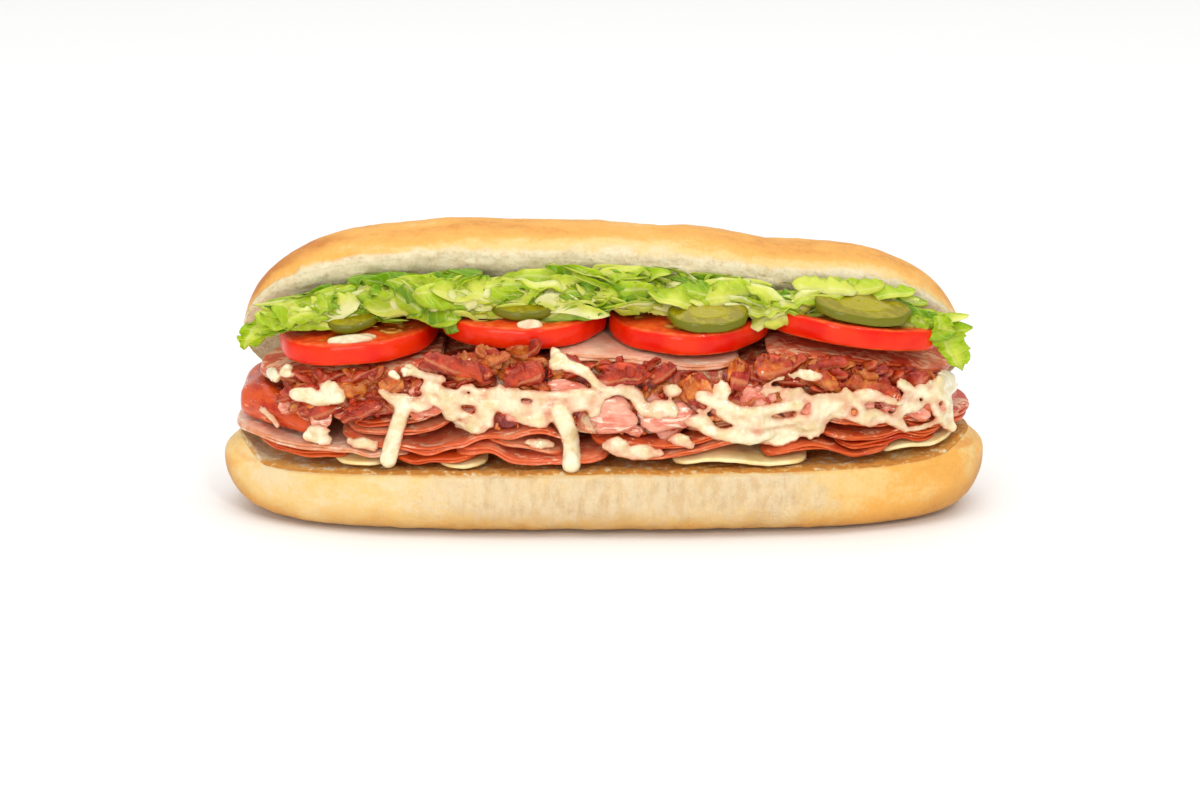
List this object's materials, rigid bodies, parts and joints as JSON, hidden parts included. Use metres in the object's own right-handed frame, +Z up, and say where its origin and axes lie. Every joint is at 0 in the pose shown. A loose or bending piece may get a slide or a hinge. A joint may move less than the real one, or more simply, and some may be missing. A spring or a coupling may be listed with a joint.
{
  "type": "submarine sandwich",
  "caption": "Long soft roll hinged along its back, filled with sliced meats, bacon, provolone, melted cheese, tomato, pickle and shredded lettuce.",
  "frame": {"origin": "centre of the bounding box at the surface the roll stands on", "axes": "+X along the roll, +Y from the open front to the hinged back, +Z up"},
  "size_m": [0.3, 0.1128, 0.1108],
  "materials": {
    "bread": "matte, toasted",
    "provolone": "soft satin",
    "salami": "moist satin",
    "capicola": "moist satin",
    "ham": "moist satin",
    "bacon": "glossy, fried",
    "cheese": "melted, glossy",
    "tomato": "wet gloss",
    "pickle": "wet gloss",
    "lettuce": "satin",
    "dressing": "gloss"
  },
  "bodies": {
    "root": {"roll": "bread", "provolone_1": "provolone", "provolone_2": "provolone", "provolone_3": "provolone", "provolone_4": "provolone", "salami_1": "salami", "capicola_1": "capicola", "salami_2": "salami", "ham_1": "ham", "ham_2": "ham", "ham_3": "ham", "ham_4": "ham", "salami_3": "salami", "capicola_2": "capicola", "salami_4": "salami", "ham_5": "ham", "capicola_3": "capicola", "ham_6": "ham", "ham_7": "ham", "ham_8": "ham", "ham_9": "ham", "capicola_fold": "capicola", "capicola_4": "capicola", "ham_10": "ham", "ham_11": "ham", "ham_12": "ham", "bacon_1": "bacon", "bacon_2": "bacon", "bacon_3": "bacon", "bacon_4": "bacon", "bacon_5": "bacon", "bacon_6": "bacon", "bacon_7": "bacon", "bacon_8": "bacon", "bacon_9": "bacon", "bacon_10": "bacon", "bacon_11": "bacon", "bacon_12": "bacon", "bacon_13": "bacon", "bacon_14": "bacon", "bacon_15": "bacon", "ham_bite_1": "ham", "ham_bite_2": "ham", "ham_bite_3": "ham", "ham_bite_4": "ham", "ham_bite_5": "ham", "ham_bite_6": "ham", "ham_bite_7": "ham", "melted_cheese": "cheese", "tomato_1": "tomato", "tomato_2": "tomato", "tomato_3": "tomato", "tomato_4": "tomato", "pickle_1": "pickle", "pickle_2": "pickle", "pickle_3": "pickle", "pickle_4": "pickle", "lettuce": "lettuce", "lettuce_leaf_1": "lettuce", "lettuce_leaf_2": "lettuce"}
  },
  "joints": []
}
